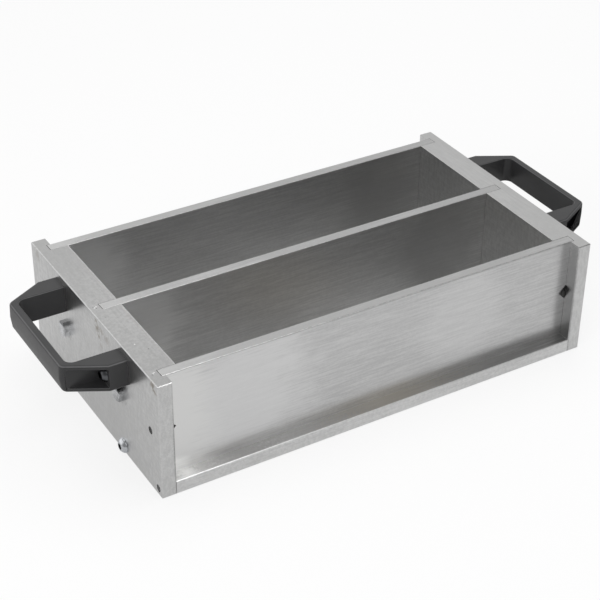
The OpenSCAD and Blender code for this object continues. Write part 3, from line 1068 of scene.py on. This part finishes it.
@dataclass
class Plates:
    """The base plate, the two end plates and the three plates that lift out."""

    effects: Effects
    outer_x: float = 162.5 * MM
    flange_x: float = 152.4 * MM

    def dress_all(self) -> None:
        """Gives each plate its ground steel."""
        self.dress_base()
        for end in End:
            self.dress_end(end)
        # The front plate is the same steel as the back plate and the divider, painted a lighter grey as
        # painted light.
        for name, level in (("front_side_plate", 0.82), ("back_side_plate", 0.78), ("divider_plate", 0.78)):
            self.dress_wall(name, level)

    def dress_base(self) -> None:
        """Dresses the base plate; its front ledge gets a paler brownish stretch, painted shadow along the
        joint and a painted highlight at its left end.
        """
        low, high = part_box("base_plate")
        # On the ledge: a paler brownish stretch in the middle, painted shadow along the joint near X -104
        # mm, and a painted highlight at the left end.
        ledge = (Spot((*mm(10, -88), high.z), 75 * MM, (0.60, 0.565, 0.505), 0.9, on_top=True),
                 Spot((*mm(-104, -90), high.z), 36 * MM, (0.34, 0.336, 0.33), 0.75, on_top=True),
                 Spot((*mm(-143, -90), high.z), 10 * MM, (0.95, 0.95, 0.94), 0.6))
        # The ledge's left end is left out of the top's painted shade, as painted light.
        steel = GroundSteel("base_steel", (0.95, 0.95, 0.945), (0.86, 0.86, 0.855), (0.46, 0.455, 0.447),
                            wear_width=0.5 * MM, thin_share=0.3, spot_share=0.3, spots=ledge,
                            lit_end=low.x - 8 * MM)
        dress("base_plate", steel.material(self.effects, low, high))

    def dress_wall(self, name: str, level: float) -> None:
        """Dresses a side plate or the divider in a level of grey, with painted light on the left end of its
        top and patches of painted reflection, sheen and shade.
        """
        low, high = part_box(name)
        # Painted light: a paler spot on the left end of the top.
        lit_left_end = Spot((-148 * MM, (low.y + high.y) / 2, high.z + 6 * MM), 26 * MM, (0.60, 0.60, 0.595), 0.9,
                     on_top=True)
        # Painted reflection: a lighter patch near the left end of the inner face; painted shade: a darker
        # band near the right end.
        light_patches = (PaintedLightPatch((-132 * MM, low.y, 62 * MM), mm(34, 4, 44), 0.7),
                PaintedLightPatch((106 * MM, low.y, 55 * MM), mm(38, 4, 70), 0.7, (0.55, 0.55, 0.55)))
        if name == "front_side_plate":
            # On the front plate's outer face: painted sheen patches, a painted highlight near the left end,
            # and painted shade along the top outer edge.
            light_patches = (PaintedLightPatch(mm(-104, -82, 52), mm(66, 20, 58), 0.75),
                    PaintedLightPatch(mm(-150, -82, 50), mm(34, 20, 70), 0.9, (0.97, 0.97, 0.96)),
                    PaintedLightPatch(mm(66, -82, 52), mm(38, 20, 44), 0.35),
                    PaintedLightPatch((0.0, low.y, high.z), mm(330, 1.2, 1.2), 0.8, (0.55, 0.55, 0.545)))
        steel = GroundSteel(f"{name}_steel", steel_grey(level), steel_grey(0.88 * level),
                            (0.52, 0.52, 0.515), cloud_share=0.12, sheen_share=0.15,
                            wear_width=0.4 * MM, light_patches=light_patches, spots=(lit_left_end,))
        dress(name, steel.material(self.effects, low, high))

    def dress_end(self, end: End) -> None:
        """Dresses one end plate: painted shade on its upper face, darker on the left one, painted shade on
        the flange's inner face and along the top outer edge, and marks on the left one's outer face.
        """
        node = f"{end.name.lower()}_end_plate"
        low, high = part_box(node)
        # Painted shade on the upper face, darker on the left end plate.
        top = (0.42, 0.42, 0.417) if end is End.LEFT else (0.58, 0.58, 0.575)
        # Painted shade: a darker patch on the flange's inner face beside the front plate, and a darker line
        # along the top outer edge.
        light_patches = (PaintedLightPatch((end.value * self.flange_x, *mm(-90, 38)), mm(1.5, 9, 62), 0.9, (0.42, 0.42, 0.42)),
                PaintedLightPatch((end.value * self.outer_x, 0.0, high.z), mm(1.4, 190, 1.4), 0.9, (0.55, 0.55, 0.545)))
        steel = GroundSteel(f"{node}_steel", (0.86, 0.86, 0.855), (0.75, 0.75, 0.745), top, Grain.ALONG_Y,
                            line_share=0.06, sheen_share=0.1, wear_width=0.8 * MM, thin_share=0.22,
                            spot_share=0.3, line_length=12 * MM, wear_share=0.3,
                            cloud_stretch=(1.0, 1.0, 0.4), light_patches=light_patches,
                            spots=self.left_marks(high.z) if end is End.LEFT else ())
        dress(node, steel.material(self.effects, low, high))

    def left_marks(self, top: float) -> tuple[Spot, ...]:
        """Returns the left end plate's marks: a wide darker patch low on the outer face, brown stains, punch
        marks as bright dots with painted glints, dark specks (three of them painted shade beside punch
        marks), and painted contact shadows under the hexagon heads.
        """
        stain, dark, bright = (0.27, 0.22, 0.16), (0.10, 0.10, 0.10), (0.95, 0.95, 0.95)
        stains = ((-10, 77, 4.5, 0.7), (-12, 72, 3.0, 0.6), (-9, 82, 2.5, 0.6), (-88, 82, 4.0, 0.8),
                  (-91, 79, 2.5, 0.7), (-16, 78, 4.0, 0.45), (-24, 76, 5.0, 0.35), (-14, 66, 4.0, 0.3),
                  (84, 80, 5.0, 0.35))
        # Punch marks drawn as bright dots, a painted glint in each dimple; three of the dark specks are
        # painted shade beside them.
        punch_glints = ((-159.0, 0.5), (-157.6, 1.2), (-158.4, -81.0), (-157.4, -80.2), (-154.7, -48.0))
        specks_and_dimple_shade = ((-149.4, -56.5), (-157.3, -12.5), (-159.6, 1.3), (-159.2, -81.8), (-158.2, -0.6))
        marks = [Spot((-self.outer_x, *mm(-25, 12)), 110 * MM, (0.66, 0.66, 0.655), 0.6)]
        marks += [Spot((-self.outer_x, *mm(y, z)), reach * MM, stain, share)
                  for y, z, reach, share in stains]
        marks += [Spot((*mm(x, y), top), 0.9 * MM, bright) for x, y in punch_glints]
        marks += [Spot((*mm(x, y), top), 0.7 * MM, dark, 0.9) for x, y in specks_and_dimple_shade]
        # Painted contact shadows under the two hexagon heads.
        marks += [Spot((-self.outer_x, *mm(y, 45.5)), 7.0 * MM, (0.2, 0.2, 0.2), 0.6) for y in (-43, 39)]
        return tuple(marks)


@dataclass(frozen=True)
class Lamp:
    """A soft square lamp that points at the mould, and that gloss shows if it is mirrored."""

    name: str
    place: Point
    size: float
    power: float
    mirrored: bool = False

    def hang(self) -> None:
        """Hangs the lamp in the scene."""
        data = bpy.data.lights.new(self.name, "AREA")
        data.shape = "SQUARE"
        data.size = self.size
        data.energy = self.power
        lamp = add_object(self.name, data)
        lamp.location = self.place
        lamp.rotation_mode = "QUATERNION"
        lamp.rotation_quaternion = (-Vector(self.place)).to_track_quat("-Z", "Y")
        lamp.visible_glossy = self.mirrored


@dataclass
class Studio:
    """Plain pale floor, soft white surroundings, two soft lamps and the camera."""

    camera_place: Point = (-0.4771, -0.7744, 0.6364)
    camera_aim: Point = (0.0245, 0.0547, 0.0)
    camera_roll: float = math.radians(0.70)
    camera_lens: float = 95.06
    floor_size: float = 8.0
    floor_colour: Colour = (0.92, 0.92, 0.92)
    floor_white: float = 0.78
    floor_gloss: float = 0.52
    ambient: float = 0.50
    behind: float = 1.0
    before: float = 0.2
    right: float = 0.75
    softbox: Point = (0.02, -0.70, 0.71)
    softbox_reach: tuple[float, float] = (0.86, 0.95)
    room_turns: tuple[float, float] = (-0.35, 0.35)
    side_turns: tuple[float, float] = (0.28, 0.45)
    lamps: tuple[Lamp, ...] = (
        Lamp("top_lamp", (0.3, 0.2, 1.6), 1.4, 12.0),
        Lamp("left_lamp", (-1.5, -0.9, 0.9), 1.2, 14.0),
        Lamp("front_lamp", (0.28, -1.15, 1.25), 0.22, 1.0, mirrored=True),
        Lamp("edge_lamp", (0.77, -0.75, 1.40), 0.12, 0.1, mirrored=True),
    )

    def white_share(self, nodes: NodeTree, share: float) -> NodeSocket:
        """Returns the share of plain white that the camera, gloss and glass see."""
        path = nodes.add("LightPath").outputs
        seen = nodes.math("MAXIMUM", path["Is Camera Ray"],
                          nodes.math("MAXIMUM", path["Is Glossy Ray"], path["Is Transmission Ray"]))
        return nodes.math("MULTIPLY", seen, share)

    def build_world(self) -> None:
        """Makes the surroundings: white to the eye, a pale room in reflections, softer as light.

        The room is dimmer before the mould, where a soft box hangs.
        """
        world = bpy.data.worlds.new("studio")
        bpy.context.scene.world = world
        world.use_nodes = True
        nodes = NodeTree(world.node_tree)
        white, soft = nodes.add("Background"), nodes.add("Background")
        toward = nodes.add("TexCoord").outputs["Generated"]
        across, depth, _ = nodes.split(toward)
        room = nodes.span(depth, *self.room_turns, self.before, self.behind)
        room = nodes.math("MULTIPLY", room, nodes.span(across, *self.side_turns, 1.0, self.right))
        near = nodes.vector("DOT_PRODUCT", toward, self.softbox)
        room = nodes.math("MAXIMUM", room, nodes.span(near, *self.softbox_reach))
        seen = nodes.math("MAXIMUM", room, nodes.add("LightPath").outputs["Is Camera Ray"])
        nodes.feed(white.inputs["Color"], seen)
        soft.inputs["Color"].default_value = (1, 1, 1, 1)
        soft.inputs["Strength"].default_value = self.ambient
        both = nodes.blend(self.white_share(nodes, 1.0), soft.outputs[0], white.outputs[0])
        nodes.close("OutputWorld", both)

    def build_floor(self) -> None:
        """Lays the floor, which keeps a soft shadow."""
        mesh = bmesh.new()
        bmesh.ops.create_grid(mesh, x_segments=1, y_segments=1, size=self.floor_size / 2)
        bmesh.ops.translate(mesh, verts=mesh.verts, vec=(0, 0, -0.05 * MM))
        material = bpy.data.materials.new("floor_paper")
        material.use_nodes = True
        nodes = NodeTree(material.node_tree)
        paper, glow = nodes.add("BsdfDiffuse"), nodes.add("Emission")
        paper.inputs["Color"].default_value = (*self.floor_colour, 1.0)
        both = nodes.blend(self.white_share(nodes, self.floor_white), paper.outputs[0], glow.outputs[0])
        eye = nodes.add("LightPath").outputs["Is Camera Ray"]
        nodes.feed(glow.inputs["Strength"], nodes.span(eye, 0.0, 1.0, self.floor_gloss, 1.0))
        nodes.close("OutputMaterial", both)
        floor = make_object("floor", mesh, material)

    def build_camera(self) -> None:
        """Puts the camera where the photograph was taken from."""
        data = bpy.data.cameras.new("camera")
        data.lens = self.camera_lens
        data.sensor_width = 36.0
        camera = add_object("camera", data)
        place = Vector(self.camera_place)
        aim = (Vector(self.camera_aim) - place).to_track_quat("-Z", "Y")
        turn = aim.to_matrix().to_4x4() @ Matrix.Rotation(self.camera_roll, 4, "Z")
        camera.matrix_world = Matrix.Translation(place) @ turn
        bpy.context.scene.camera = camera

    def build(self) -> None:
        """Builds the whole studio."""
        self.build_world()
        self.build_floor()
        for lamp in self.lamps:
            lamp.hang()
        self.build_camera()
        bpy.context.scene.view_settings.view_transform = "Standard"
        bpy.context.scene.cycles.glossy_bounces = 8
        logger.info("built the studio")


def main() -> None:
    """Builds the studio, dresses the plates and builds the other pieces in order."""
    logging.basicConfig(level=logging.INFO, format="%(message)s")
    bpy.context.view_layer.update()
    Studio().build()
    effects = Effects()
    materials = Materials(effects)
    Plates(effects).dress_all()
    handle = BridgeHandle(materials.plastic)
    for end in End:
        handle.build(end)
    for piece in (
        StudScrew("stud_screw", "zinc_steel", materials.stained),
        GaugeStud("gauge_stud", "stainless", materials.stainless),
        LockingScrew("locking_screw", "pin_steel", materials.pin),
        DomedScrew("base_bolt", "zinc_steel", materials.zinc),
        DomedScrew("handle_screw", "zinc_steel", materials.sunk),
        DowelPin("dowel", "pin_steel", materials.pin),
    ):
        piece.build_all()


if __name__ == "__main__":
    main()
